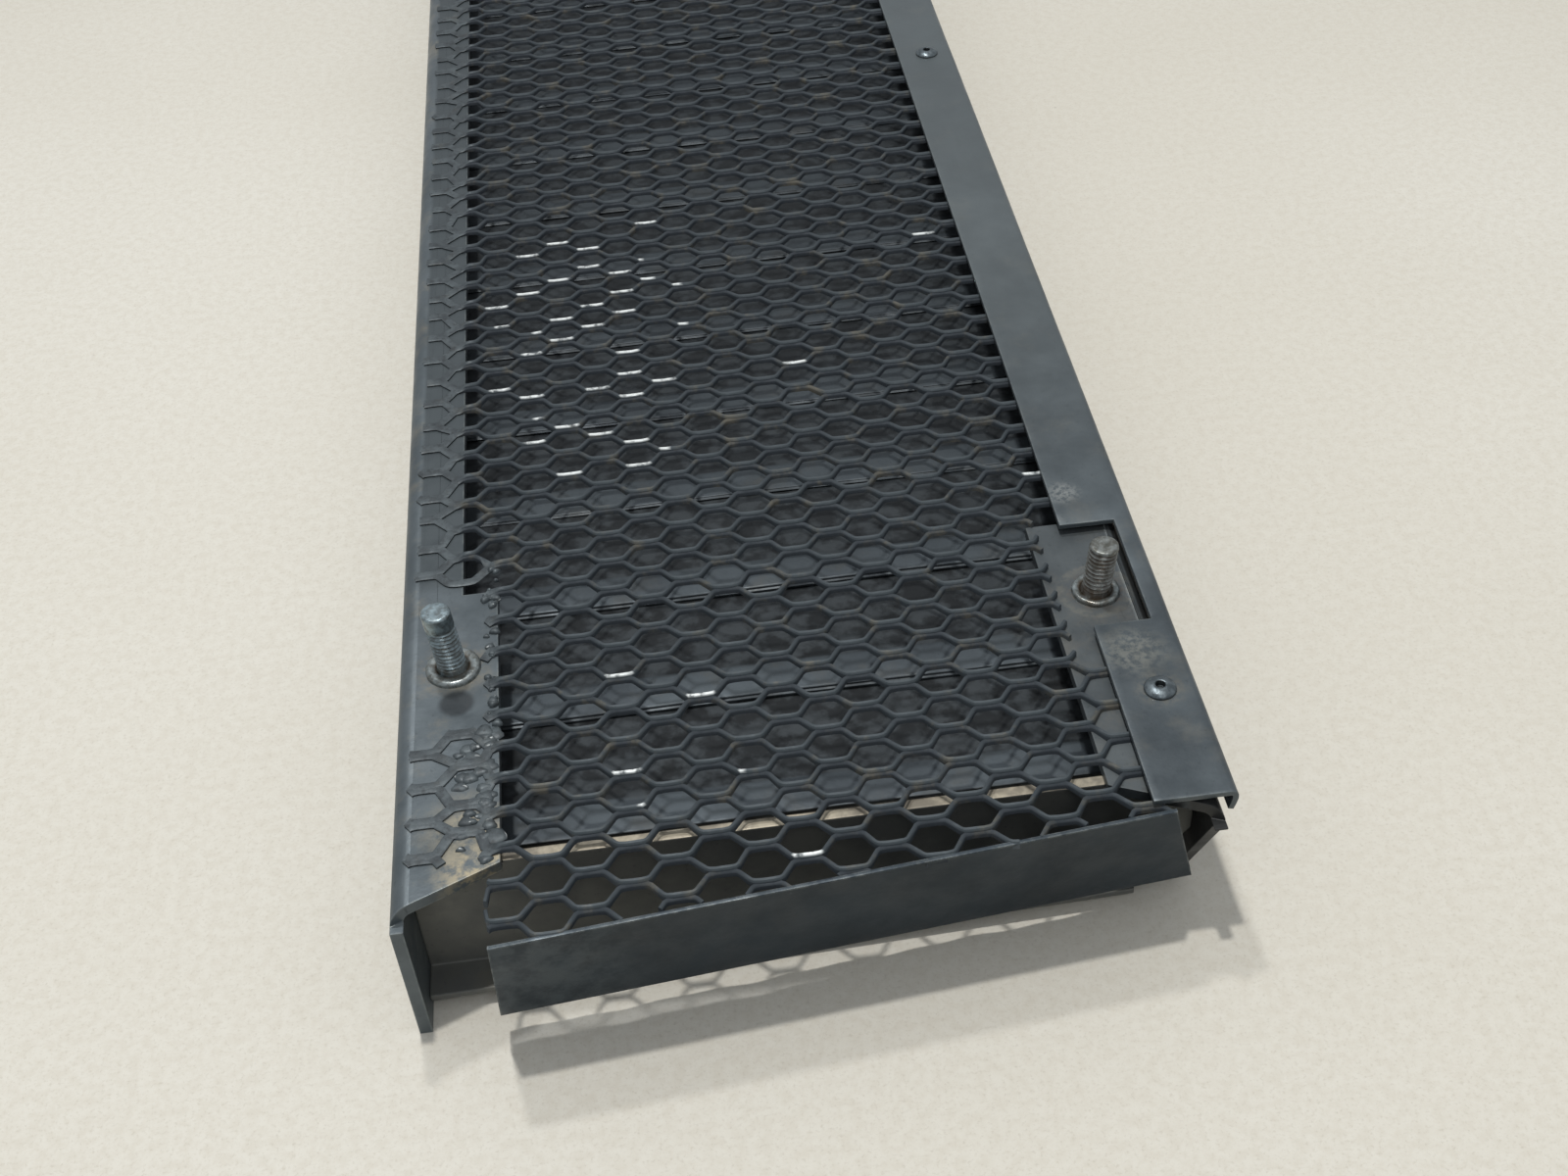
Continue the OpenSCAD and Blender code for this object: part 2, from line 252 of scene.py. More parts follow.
def steel(
    name, body, light, dust, rough=0.45, dust_amount=0.3, edge=0.6, marks=(), seed=0.0,
    darkened=False, bare_top=False, middle_sheen=None, dim=None, dark_below=False,
):
    """Rolled sheet steel: cloudy oxide, fine streaks, rubbed edges, settled dust, local marks, painted shade
    and sheen.
    """
    n = Nodes(name)
    cloud = n.noise(38, 5, 0.6, seed=seed)
    speck = n.noise(900, 3, 0.6, seed=seed + 3)
    streak = n.noise(260, 3, 0.6, stretch=(1, 0.06, 1), seed=seed + 5)
    colour = n.mix(n.ramp(cloud, 0.32, 0.7), body, light)
    colour = n.mix(n.ramp(streak, 0.58, 0.78, 0, 0.35), colour, light)
    darker = tuple(c * 0.6 for c in body)
    colour = n.mix(n.ramp(speck, 0.6, 0.75, 0, 0.45), colour, darker)
    patches = n.ramp(n.noise(85, 6, 0.65, seed=seed + 9), 0.5, 0.72)
    colour = n.mix(n.times(patches, n.ramp(n.up_facing(), 0.3, 0.9), dust_amount), colour, dust)
    for mark in marks:
        colour = add_mark(n, colour, mark, seed)
    if darkened:  # painted shade and grime everywhere but where the piece says it is lit and clean
        blotches = n.ramp(n.noise(170, 4, 0.55, seed=seed + 19), 0.42, 0.6)
        dark_tone = n.mix(blotches, srgb(27, 30, 32), srgb(60, 65, 68))
        colour = n.mix(n.attribute("lit_and_clean"), dark_tone, colour)
        # Painted shade, darker towards the middle of the length.
        colour = n.mix(n.times(n.middle_of_length(), 0.35), colour, srgb(40, 44, 47))
    if bare_top:  # the crossbar's dusty upper edge
        patina = n.ramp(n.noise(200, 4, 0.6, seed=seed + 23), 0.3, 0.6)
        bare = n.mix(patina, srgb(168, 160, 142), srgb(118, 112, 100))
        high = n.times(n.zone("Z", TOP - 2.2, TOP - 1.9), n.ramp(n.up_facing(), 0.5, 0.9))
        colour = n.mix(high, colour, bare)
    if middle_sheen:  # painted sheen: paler along the middle of the length
        colour = n.mix(n.times(n.middle_of_length(), 0.6), colour, middle_sheen)
    if dim:  # the flange under the mesh, between the stud pads
        inside = n.zone("X", LEFT + 3.2, LEFT + 4.4)
        middle = n.times(n.zone("Y", NEAR + 84, NEAR + 92), n.zone("Y", -NEAR - 84, -NEAR - 92))
        colour = n.mix(n.times(inside, middle), colour, dim)
    if edge:
        uneven_mask = n.ramp(n.noise(300, 4, 0.7, seed=seed + 21), 0.35, 0.62)
        colour = n.mix(n.times(n.edges(EDGE_REACH), uneven_mask, edge), colour, srgb(150, 155, 152))
    if dark_below:  # painted shade on the web, the fold under the strip and the tips beyond the strip's ends
        low = n.zone("Z", TOP - 3.2, TOP - 4.6)
        fold = n.zone("X", LEFT + 150.9, LEFT + 151.3)
        tip = n.from_middle(-NEAR - 5.2, -NEAR - 4.2)
        hidden = n.math("MAXIMUM", n.math("MAXIMUM", low, fold), tip)
        colour = n.mix(n.times(hidden, 0.92), colour, srgb(42, 43, 43))
    roughness = n.ramp(n.noise(120, 5, 0.6, seed=seed + 17), 0.3, 0.7, rough - 0.09, rough + 0.12)
    soft = n.bump(n.noise(70, 3, 0.5, seed=seed + 25), 0.00035, 0.35)
    fine = n.bump(speck, 0.00006, 0.5, chain=soft)
    return n.done(colour, roughness, 0.5, n.bump(streak, 0.00004, 0.4, chain=fine))


def spot(place_on_panel, **rest):
    """A mark for steel(): its place is in millimetres on the panel, its radii are in metres."""
    return {"at": place(*place_on_panel)[:2], **rest}


DUST = srgb(150, 140, 118)

left_steel = steel(
    "left_rail_steel", srgb(76, 84, 88), srgb(96, 104, 108), DUST, rough=0.42, dust_amount=0.3, seed=1,
    dim=srgb(70, 77, 80),
    marks=[
        spot((17, 9), inner=0.002, outer=0.011, amount=0.85, colour=srgb(168, 156, 128), grain=260),
        spot((15, 20), inner=0.002, outer=0.012, amount=0.5, colour=srgb(160, 150, 126), grain=300),
        spot(STUD_LEFT, inner=0.005, outer=0.009, amount=0.5, colour=srgb(120, 112, 96)),
        # Painted shadow of the stud on the pad.
        spot((12.2, 53), inner=0.0027, outer=0.0042, amount=0.9, colour=srgb(50, 55, 58), grain=0),
        spot((9, 38), inner=0.004, outer=0.0075, amount=0.5, colour=srgb(104, 112, 116), grain=90),
    ],
)
right_steel = steel(
    "right_rail_steel", srgb(66, 72, 75), srgb(84, 90, 92), srgb(110, 104, 92), rough=0.46, seed=2,
    edge=0.2, dark_below=True,
    marks=[
        spot(STUD_RIGHT, inner=0.0076, outer=0.0084, hole=0.0069, amount=0.35, colour=srgb(120, 117, 106)),
        # Painted shade in the near corner, under the strip's end.
        spot((147, 2), inner=0.006, outer=0.012, amount=1.3, colour=srgb(46, 48, 48), grain=200),
        spot(STUD_RIGHT, inner=0.0045, outer=0.0068, amount=0.5, colour=srgb(96, 82, 66)),
    ],
)
strip_steel = steel(
    "cover_strip_steel", srgb(64, 71, 75), srgb(84, 92, 96), srgb(120, 116, 104), rough=0.42, seed=3,
    dust_amount=0.22, edge=0.4, middle_sheen=srgb(98, 105, 106),
    marks=[
        spot((146, 42), inner=0.002, outer=0.009, amount=0.4, colour=srgb(140, 140, 130), grain=600),
        spot((RIVET_X, RIVET_END), inner=0.003, outer=0.006, amount=0.4, colour=srgb(120, 116, 104)),
        spot((143, 92), inner=0.001, outer=0.005, amount=0.45, colour=srgb(170, 172, 168), grain=900),
    ],
)
lip_steel = steel(
    "lip_steel", srgb(27, 37, 44), srgb(38, 49, 57), srgb(76, 80, 80), rough=0.45, seed=4, dust_amount=0.2,
    marks=[spot((26, -8), inner=0.004, outer=0.026, amount=0.6, colour=srgb(70, 79, 84), grain=160)],
)
crossbar_steel = steel(
    "crossbar_steel", srgb(92, 94, 92), srgb(114, 114, 108), srgb(120, 112, 94), rough=0.55, seed=5,
    edge=0, bare_top=True,
)
louvre_steel = steel(
    "louvre_steel", srgb(59, 66, 71), srgb(74, 82, 87), srgb(84, 80, 70), rough=0.5, seed=6,
    dust_amount=0.3, edge=0, darkened=True,
)


def mesh_steel():
    """Expanded metal: dark strands and dusty patches, with painted shade and a few painted glints."""
    n = Nodes("expanded_metal_steel")
    tops, below = n.attribute("top"), n.attribute("low")
    cloud = n.noise(60, 5, 0.6, seed=31)
    colour = n.mix(n.ramp(cloud, 0.35, 0.7), srgb(60, 67, 72), srgb(74, 82, 87))
    # Painted shade on the strand tops, broken up by noise.
    uneven_mask = n.times(n.ramp(tops, 0.3, 0.7), n.ramp(n.noise(300, 4, 0.6, seed=33), 0.25, 0.6, 0.6, 1.0))
    colour = n.mix(uneven_mask, colour, srgb(58, 66, 70))
    # Painted shade towards the middle of the length, less on the tops.
    darkened = n.times(n.middle_of_length(), n.ramp(tops, 0.3, 0.9, 0.8, 0.2))
    colour = n.mix(darkened, colour, srgb(46, 52, 58))
    # Painted shade on the lower strand at each bond.
    colour = n.mix(n.times(below, 0.8), colour, srgb(40, 46, 52))
    dusty = n.times(n.ramp(n.noise(140, 5, 0.65, seed=35), 0.52, 0.72), 0.4)
    colour = n.mix(dusty, colour, srgb(112, 104, 84))
    # Where it is hammered into the flange it takes the flange's look, with dark specks;
    # painted shade darkens the strands' sides there.
    flange = n.mix(n.ramp(n.noise(240, 5, 0.65, seed=34), 0.35, 0.65), srgb(52, 58, 61), srgb(80, 88, 91))
    flange = n.mix(n.ramp(n.noise(520, 4, 0.7, seed=38), 0.5, 0.66, 0, 0.8), flange, srgb(40, 44, 46))
    flange = n.mix(n.ramp(tops, 0.35, 0.15), flange, srgb(34, 37, 39))
    colour = n.mix(n.times(n.attribute("blend"), 0.85), colour, flange)
    # Painted glints on a few bonds and blobs.
    glint_mask = n.times(n.attribute("painted_glint"), n.ramp(n.noise(420, 3, 0.6, seed=36), 0.3, 0.55))
    colour = n.mix(glint_mask, colour, srgb(226, 230, 228))
    rough = n.ramp(n.noise(500, 4, 0.6, seed=37), 0.3, 0.7, 0.42, 0.6)
    rough = n.math("ADD", rough, n.times(below, 0.3))
    rough = n.math("SUBTRACT", rough, n.times(glint_mask, 0.2))
    return n.done(colour, rough, 0.3, n.bump(n.noise(1500, 3, 0.6, seed=39), 0.00008, 0.5))


def zinc_steel(name, bright, dull, dark_tone, rough):
    """Plated fastener steel: grime lies where the attribute says the surface is sunk."""
    n = Nodes(name)
    colour = n.mix(n.ramp(n.noise(700, 4, 0.6, seed=41), 0.35, 0.65), bright, dull)
    patchy = n.ramp(n.noise(520, 5, 0.7, seed=43), 0.3, 0.62, 0.35, 1.0)
    colour = n.mix(n.times(n.attribute("dirt"), patchy), colour, dark_tone)
    rough = n.ramp(n.noise(900, 4, 0.6, seed=45), 0.3, 0.7, rough - 0.08, rough + 0.12)
    return n.done(colour, rough, 0.75, n.bump(n.noise(2400, 3, 0.6, seed=47), 0.00006, 0.6))


mesh_mat = mesh_steel()
stud_left_mat = zinc_steel(
    "stud_left_steel", srgb(140, 156, 162), srgb(104, 112, 114), srgb(70, 68, 60), 0.36,
)
stud_right_mat = zinc_steel("stud_right_steel", srgb(128, 132, 130), srgb(92, 92, 86), srgb(66, 52, 40), 0.4)
collar_mat = zinc_steel("collar_steel", srgb(140, 149, 150), srgb(98, 101, 98), srgb(84, 70, 54), 0.34)
rivet_mat = zinc_steel("rivet_steel", srgb(108, 117, 121), srgb(80, 88, 92), srgb(42, 44, 44), 0.34)

# ---------------------------------------------------------------- mesh helpers


def piece(name, verts, faces, material, nodes, sharp=40, attributes=None):
    """A mesh object that rides on the panel and stands for CAD nodes."""
    data = bpy.data.meshes.new(name)
    data.from_pydata([tuple(v) for v in verts], [], [tuple(f) for f in faces])
    for key, values in (attributes or {}).items():
        layer = data.attributes.new(key, "FLOAT", "POINT")
        layer.data.foreach_set("value", np.asarray(values, np.float32))
    data.polygons.foreach_set("use_smooth", [True] * len(data.polygons))
    data.materials.append(material)
    data.update()
    data.set_sharp_from_angle(angle=math.radians(sharp))
    obj = bpy.data.objects.new(name, data)
    bpy.context.scene.collection.objects.link(obj)
    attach(obj, "root")
    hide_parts(*nodes)
    return obj


def soften(obj, width, angle, weld=False):
    """Rounds the edges that turn by more than the angle."""
    if weld:
        w = obj.modifiers.new("weld", "WELD")
        w.merge_threshold = 1e-6
    b = obj.modifiers.new("round", "BEVEL")
    b.width = width
    b.segments = 2
    b.limit_method = "ANGLE"
    b.angle_limit = math.radians(angle)


def revolve(profile, centre, steps, shape=None):
    """Turns (radius, z) points about a vertical axis through centre; shape may change the radius."""
    verts, faces = [], []
    count = len(profile)
    for i in range(steps):
        a = 2 * math.pi * i / steps
        for r, z in profile:
            rr = shape(r, z, a) if shape else r
            verts.append(place(centre[0] + rr * math.cos(a), centre[1] + rr * math.sin(a), z))
    for i in range(steps):
        j = (i + 1) % steps
        for k in range(count - 1):
            faces.append((i * count + k, j * count + k, j * count + k + 1, i * count + k + 1))
    return verts, faces


# ---------------------------------------------------------------- expanded metal
# In millimetres; places are measured from the left edge and the near end.
COL, ROW = 7.85, 4.4  # from bond to bond across, and from row to row
SKEW = 0.233  # how far a row runs out of square from one bond to the next
BOND_X, BOND_Y = 29.15, 71.1  # one bond found in the photo
HALF_BOND = COL / 3
STRAND, STRAND_H = 0.72, 1.48  # a strand's width and height
UNDER = 0.62  # height of the lower strand at a bond, as a share of the higher one's
STAGGER = STRAND * 0.36  # how far a strand keeps to its own side of a bond
COLUMNS = range(-5, 18)
MESH_LEFT, MESH_RIGHT = 3.0, 149.4
CORNER = 10.5  # the corners over the rails are cut off this far from an end
STUD_GAP = (45, 88)  # the mesh is cut away round the studs between these distances from an end
GAP_LEFT, GAP_RIGHT = 17.5, 135.6


def in_sheet(x, y):
    """True where the expanded metal is present. Its far half is the near one turned half round."""
    far = LENGTH - y
    end = min(y, far)
    if not MESH_LEFT <= x <= MESH_RIGHT:
        return False
    across = x if y < LENGTH / 2 else WIDTH - x
    if end < LIP_Y + 0.45 + LIP_SKEW * (across - LIP_LEFT):  # a strand's half width inside the lip's edge
        return False
    if end < CORNER and (across < LIP_LEFT - 0.4 or across > 144):
        return x > 140 and y > 3.6 and far > 3.6  # only what lies under the strip is left
    return not (STUD_GAP[0] < end < STUD_GAP[1] and (x < GAP_LEFT or x > GAP_RIGHT))


# A strand at one bond: places along the bond in half bonds, and how far it has turned away there.
BOND = [(-1.12, 0.17), (-0.9, 0.045), (-0.45, 0), (0, 0), (0.45, 0), (0.9, 0.045), (1.12, 0.17)]


def strand_path(v):
    """Centre line of the zigzag strand between bond rows v and v + 1, with rounded corners."""
    path = []
    for u in COLUMNS:
        low = (u + v) % 2 == 0
        row = v if low else v + 1
        side = -STAGGER if low else STAGGER
        cx = BOND_X + COL * u
        cy = BOND_Y - ROW * row + SKEW * u
        jx, jy = bond_shift(u, row)
        for t, ease in BOND:
            bend = ease * ROW * (-1 if low else 1)
            rise = (UNDER if low else 1.0) + abs(ease) * (1 - UNDER) * (1.4 if low else -1.4)
            path.append((cx + jx + HALF_BOND * t, cy + jy + side + bend * 0.75, abs(t) < 1.0, rise))
        path.append(None)  # stands for the middle of the leg to the next bond
    fixed = []
    for i, point in enumerate(path):
        if point is None and i + 1 < len(path):
            a, b = path[i - 1], path[i + 1]
            point = ((a[0] + b[0]) / 2, (a[1] + b[1]) / 2, False, (a[3] + b[3]) / 2)
        if point is not None:
            fixed.append(point)
    return fixed


shifts = {}


def bond_shift(u, row):
    """How far a bond lies off its place: a little everywhere, more on the mashed left side."""
    if (u, row) not in shifts:
        r = random.Random(u * 7919 + row * 104729 + 11)
        loose = 4.5 if u <= -2 or (u == -1 and -3 < row < 15) else 1
        shifts[(u, row)] = (r.gauss(0, 0.09) * loose, r.gauss(0, 0.09) * loose)
    return shifts[(u, row)]


def flattened(x, y):
    """How much a strand is hammered flat on the left flange: 0 not at all, 1 fully."""
    pad_end, pad, flange = 94, 20.8, 13.6
    end = min(y, LENGTH - y)
    inner = pad if end < pad_end else flange
    if x > inner or end < 7:
        return 0.0
    return 0.9 * min(1, (inner - x) / 1.6)


# Section of a strand: across, height and how much it counts as the top.
SECTION = [
    (-0.5, 0.0, 0.0), (0.5, 0.0, 0.0), (0.5, 0.93, 0.2), (0.38, 1.0, 1.0), (-0.3, 0.98, 1.0),
    (-0.6, 0.78, 0.9), (-0.62, 0.7, 0.1),
]
LEAN = 0.4  # how far its foot leans to the near side


def ribbon(points, verts, faces, values):
    """Adds one strand along the points, and each vertex's share of top, painted glint, blend and low
    (painted shade).
    """
    n = len(SECTION)
    start = len(verts)
    for i, (x, y, bond, rise) in enumerate(points):
        a = points[max(i - 1, 0)]
        b = points[min(i + 1, len(points) - 1)]
        dx, dy = b[0] - a[0], b[1] - a[1]
        length = math.hypot(dx, dy) or 1
        nx, ny = -dy / length, dx / length
        flat = flattened(x, y)
        grow = 1 + 1.7 * flat
        high = STRAND_H * (1 - 0.78 * flat) * (rise + (1 - rise) * flat)
        wave = 0.05 * math.sin(x * 1.7 + y * 2.3)
        glint = bond and rise > 0.9 and glint_at(x, y)
        # lit is 0 on the lower strand at a bond, which gets painted shade through low.
        lit = min(1.0, max(0.0, (rise - UNDER) / (1 - UNDER)))
        for across, height, is_top in SECTION:
            w = across * STRAND * grow
            lean = -LEAN * (1 - height) * (1 - flat)
            verts.append(place(x + nx * w, y + ny * w + lean, height * high * (1 + wave * 0.4)))
            values["top"].append(is_top * (0.45 + 0.55 * max(lit, flat)) * (1 - 0.3 * flat))
            values["painted_glint"].append(1.0 if glint and is_top > 0.95 else 0.0)
            values["blend"].append(flat)
            values["low"].append((1 - lit) * (1 - flat))
    for i in range(len(points) - 1):
        for k in range(n):
            p, q = start + i * n + k, start + i * n + (k + 1) % n
            faces.append((p, p + n, q + n, q))
    faces.append([start + k for k in range(n)])
    faces.append([start + (len(points) - 1) * n + k for k in reversed(range(n))])


def lump(x, y, radius, high, r, verts, faces):
    """A low, uneven blob of weld or mashed metal on the flange."""
    start, steps = len(verts), 14
    turn, wave = r.uniform(0, 6.28), r.uniform(0.06, 0.2)
    stretch = r.uniform(0.55, 1.0)
    for size, level in ((1.0, 0.0), (0.9, 0.45), (0.68, 0.82), (0.34, 1.0)):
        for i in range(steps):
            a = 2 * math.pi * i / steps
            rr = radius * size * (1 + wave * math.sin(3 * a + turn) + 0.06 * math.sin(5 * a - turn))
            verts.append(place(x + rr * math.cos(a), y + stretch * rr * math.sin(a), level * high))
    for ring_no in range(3):
        for i in range(steps):
            j = (i + 1) % steps
            a, b = start + ring_no * steps, start + (ring_no + 1) * steps
            faces.append((a + i, a + j, b + j, b + i))
    faces.append([start + 3 * steps + i for i in range(steps)])
    faces.append([start + i for i in reversed(range(steps))])


# Two patches of bonds with painted glints: middle, reach, steepness of the edge and weight.
GLINTS = [((42, 168), (22, 55), 4, 1.0), ((52, 35), (20, 18), 2, 0.25)]


def glint_at(x, y):
    """A few bonds get a painted glint, most of them left of the middle."""
    u = round((x - BOND_X) / COL)
    row = round((BOND_Y - y + SKEW * u) / ROW)
    r = random.Random(u * 31 + row * 977 + 5)
    zone = 0.0
    for (mid_x, mid_y), (half_x, half_y), steep, share in GLINTS:
        zone += share * math.exp(-((x - mid_x) / half_x) ** steep - ((y - mid_y) / half_y) ** steep)
    return r.random() < 0.008 + 0.62 * zone


# Blobs on the left pad: how many, and the ranges of their x, y, radius and height.
MASHED = (34, (12.5, 20.0), (11.5, 45), (0.9, 2.3), (0.35, 0.75))
WELDED = (26, (17.8, 20.4), (46, 92), (0.5, 1.2), (0.5, 1.0))


def expanded_metal():
    """All the strands, and the blobs of weld and mashed metal where they meet the left pads."""
    verts, faces = [], []
    values = {"top": [], "painted_glint": [], "blend": [], "low": []}
    # All the rows that can reach the sheet, with some to spare; in_sheet() trims them.
    first = int((BOND_Y - LENGTH - 8) / ROW) - 1
    last = int((BOND_Y + 10) / ROW) + 2
    for v in range(first, last):
        run = []
        for point in strand_path(v) + [None]:
            if point is not None and in_sheet(point[0], point[1]):
                run.append(point)
                continue
            if len(run) > 3:
                ribbon(run, verts, faces, values)
            run = []
    r = random.Random(23)
    for mirror in (False, True):
        for count, xs, ys, radii, heights in (MASHED, WELDED):
            for _ in range(count):
                x, y = r.uniform(*xs), r.uniform(*ys)
                lump(x, LENGTH - y if mirror else y, r.uniform(*radii), r.uniform(*heights), r, verts, faces)
    extra = len(verts) - len(values["top"])
    # Painted glints on a few points of the blobs.
    values["painted_glint"] += [1.0 if r.random() < 0.015 else 0.0 for _ in range(extra)]
    values["top"] += [0.6] * extra
    values["blend"] += [1.0] * extra
    values["low"] += [0.0] * extra
    piece("expanded_metal", verts, faces, mesh_mat, ["mesh_screen"], attributes=values)


expanded_metal()

# ---------------------------------------------------------------- sheet pieces


def sheet(name, rows, thick, material, nodes, keep):
    """A grid of points made into a sheet: thickness grows to the back of the grid."""
    wide = len(rows[0])
    verts = [p for row in rows for p in row]
    faces = []
    for i in range(len(rows) - 1):
        for j in range(wide - 1):
            if keep(i, j):
                faces.append((i * wide + j, i * wide + j + 1, (i + 1) * wide + j + 1, (i + 1) * wide + j))
    used = sorted({k for f in faces for k in f})
    index = {k: i for i, k in enumerate(used)}
    faces = [[index[k] for k in f] for f in faces]
    obj = piece(name, [verts[k] for k in used], faces, material, nodes)
    s = obj.modifiers.new("thickness", "SOLIDIFY")
    s.thickness = thick * MM
    s.offset = -1
    s.use_even_offset = True
    soften(obj, 0.00015, 35)


STRIP_INNER, STRIP_END = 140.0, 3.4  # the strip's inner edge, and its ends' distance from the rails' ends
STRIP_TOP, STRIP_THICK, STRIP_TURN = 2.7, 1.15, 1.5  # height, thickness and the bend's outer radius
STRIP_FLAT = (STRIP_INNER, 141.5, 144, 147, 150, 151.7, 153.2)
STRIP_HEM = [(156, 0.5), (155.7, -0.9), (155.3, -2.25)]  # the turned-down edge leans in
NOTCH, NOTCH_EDGE = (50.5, 81.5), 151.8  # distances from an end, and the notch's outer side


def cover_strip():
    """The strip: flat, notched at the studs, with its outer edge turned down."""
    section = [(x, STRIP_TOP) for x in STRIP_FLAT]
    for i in range(7):
        a = math.radians(15 * i)
        x = WIDTH - STRIP_TURN + STRIP_TURN * math.sin(a)
        section.append((x, STRIP_TOP - STRIP_TURN + STRIP_TURN * math.cos(a)))
    section += STRIP_HEM
    last = LENGTH - STRIP_END
    ys = set(np.arange(STRIP_END, last, 6.0).round(2))
    ys |= {STRIP_END, 4.2, *NOTCH, LENGTH - NOTCH[0], LENGTH - NOTCH[1], last}
    ys = sorted(ys)
    rows = []
    for y in ys:
        row = []
        for x, h in section:
            wobble = 0.12 * math.sin(y * 0.045 + x * 0.2) + 0.06 * math.sin(y * 0.17)
            outward = max(0, wobble if x > 155 else 0) * 0.3
            inner = max(0.0, 1 - (x - STRIP_INNER) / 6)
            lift = 0.16 * inner * (1 + math.sin(y * 0.11))
            droop = 0.12 * max(0.0, 1 - (y - STRIP_END) / 9)
            row.append(place(x - outward, y, min(h, h - 0.1 + lift * 0.5) - droop))
        rows.append(row)

    def keep(i, j):
        mid = (ys[i] + ys[i + 1]) / 2
        end = min(mid, LENGTH - mid)
        return not (NOTCH[0] < end < NOTCH[1] and section[j + 1][0] <= NOTCH_EDGE)

    sheet("cover_strip_sheet", rows, STRIP_THICK, strip_steel, ["cover_strip"], keep)


def sweep(name, loops, material, nodes, sharp=35, attributes=None):
    """Joins closed loops of points into one solid with capped ends."""
    n = len(loops[0])
    verts = [p for loop in loops for p in loop]
    faces = []
    for i in range(len(loops) - 1):
        for k in range(n):
            p, q = i * n + k, i * n + (k + 1) % n
            faces.append((p, q, q + n, p + n))
    faces.append([k for k in reversed(range(n))])
    faces.append([(len(loops) - 1) * n + k for k in range(n)])
    piece(name, verts, faces, material, nodes, sharp, attributes)


LIP_TOP_WIDTH, LIP_LOW_LEFT, LIP_LOW_WIDTH = 125.7, 16.9, 132.6  # top edge, then the lower edge
LIP_TOP, LIP_DEEP, LIP_THICK = 1.0, 24.4, 0.95  # height of the top edge, depth below it, sheet
LIP_LEAN = math.tan(math.radians(9.5))
LIP_STEPS, LIP_LEVELS = 90, 10  # how finely it is divided across and down


def end_lip(name, node, rear):
    """The lip: a thin leaning face with a rolled top edge, a foot folded back and a pointed lower corner."""
    loops = []
    for i in range(LIP_STEPS + 1):
        s = i / LIP_STEPS
        x_top = LIP_LEFT + LIP_TOP_WIDTH * s
        x_low = LIP_LOW_LEFT + LIP_LOW_WIDTH * s + 0.4 * max(0, s - 0.97) / 0.03
        dent = 0.25 * math.sin(s * 9.0) + 0.12 * math.sin(s * 23 + 1)
        foot = 4.6 + 0.2 * math.sin(s * 31) + 0.15 * math.sin(s * 67)
        outer, inner = [], []
        for k in range(LIP_LEVELS + 1):
            t = k / LIP_LEVELS
            z = LIP_TOP - LIP_DEEP * t
            x = x_top + (x_low - x_top) * t
            belly = dent * math.sin(math.pi * t)
            y = LIP_Y + LIP_SKEW * (x - LIP_LEFT) + LIP_LEAN * (LIP_TOP - z) + 0.3 * abs(belly) + 0.04
            outer.append((x, y, z))
            inner.append((x, y + LIP_THICK, z + (0.7 if k == LIP_LEVELS else 0)))
        x, y, z = outer[-1]
        bend = [(x, y + 0.2, z - 0.4), (x, y + 0.6, z - 0.6)]
        toe = [(x, y + foot, z - 0.6), (x, y + foot, z + 0.1)]
        heel = [(x, y + LIP_THICK + 0.2, z + 0.25)]
        x, y, z = outer[0]
        rim = [(x, y + 0.8, z + 0.22), (x, y + 0.35, z + 0.25), (x, y + 0.08, z + 0.16)]
        loop = rim + outer + bend + toe + heel + list(reversed(inner))
        if rear:
            loop = [(WIDTH - px, LENGTH - py, pz) for px, py, pz in loop]
        loops.append([place(*p) for p in loop])
    sweep(name, loops, lip_steel, [node])


cover_strip()
end_lip("front_lip_sheet", "front_lip", False)
end_lip("rear_lip_sheet", "rear_lip", True)

# ---------------------------------------------------------------- studs, collars, rivets


STUD_R, ROOT_R, STUD_FOOT = 3.0, 3.45, -2.4  # radii of stud and root, and the height of its lower end
THREAD_START, THREAD_DEEP = 1.6, 0.48


def threaded(node, centre, tip, material, plain_top, seed, lean):
    """A stud with a real 1 mm thread, a rounded tip and a flared root. Its tip leans sideways by lean mm."""
    r = random.Random(seed)
    profile = []
    z = STUD_FOOT
    while z < tip - 0.55:
        profile.append((STUD_R, z))
        z += 0.1
    profile += [
        (2.98, tip - 0.5), (2.9, tip - 0.25), (2.72, tip - 0.06), (2.5, tip), (1.6, tip), (0.8, tip - 0.02),
        (0.0001, tip - 0.02),
    ]
    phase = r.random()

    def shape(rr, z, a):
        if rr < 2.97:
            return rr
        if z < THREAD_START:
            return ROOT_R if z < 0.2 else ROOT_R - 0.5 * min(1, (z - 0.2) / 1.6)
        saw = abs(((z + phase + a / (2 * math.pi)) % 1.0) * 2 - 1)
        depth = THREAD_DEEP * min(1, (z - THREAD_START) / 0.5)
        cut = min(1.0, max(0.0, (tip - plain_top + 0.4 - z) / 0.8))
        chew = 0.06 * math.sin(7 * a + z * 3) * math.sin(3 * a)
        return STUD_R - depth * cut * max(0, min(1, saw * 1.25 - 0.1)) - max(0, chew) * 0.6

    verts, faces = revolve(profile, centre, 72, shape)
    cx, cy, _ = place(*centre)
    dirt = []
    for v in verts:
        rad = math.hypot(v[0] - cx, v[1] - cy) / MM
        z = v[2] / MM - TOP
        sunk = max(0.0, min(1.0, (2.95 - rad) / 0.4)) if z < tip - 0.7 else 0.0
        dirt.append(max(sunk, 0.75 if z < 2.4 else 0.0))
    verts = [(v[0] + max(0.0, v[2] / MM - TOP) / tip * lean * MM, v[1], v[2]) for v in verts]
    piece(node + "_thread", verts, faces, material, [node], attributes={"dirt": dirt})


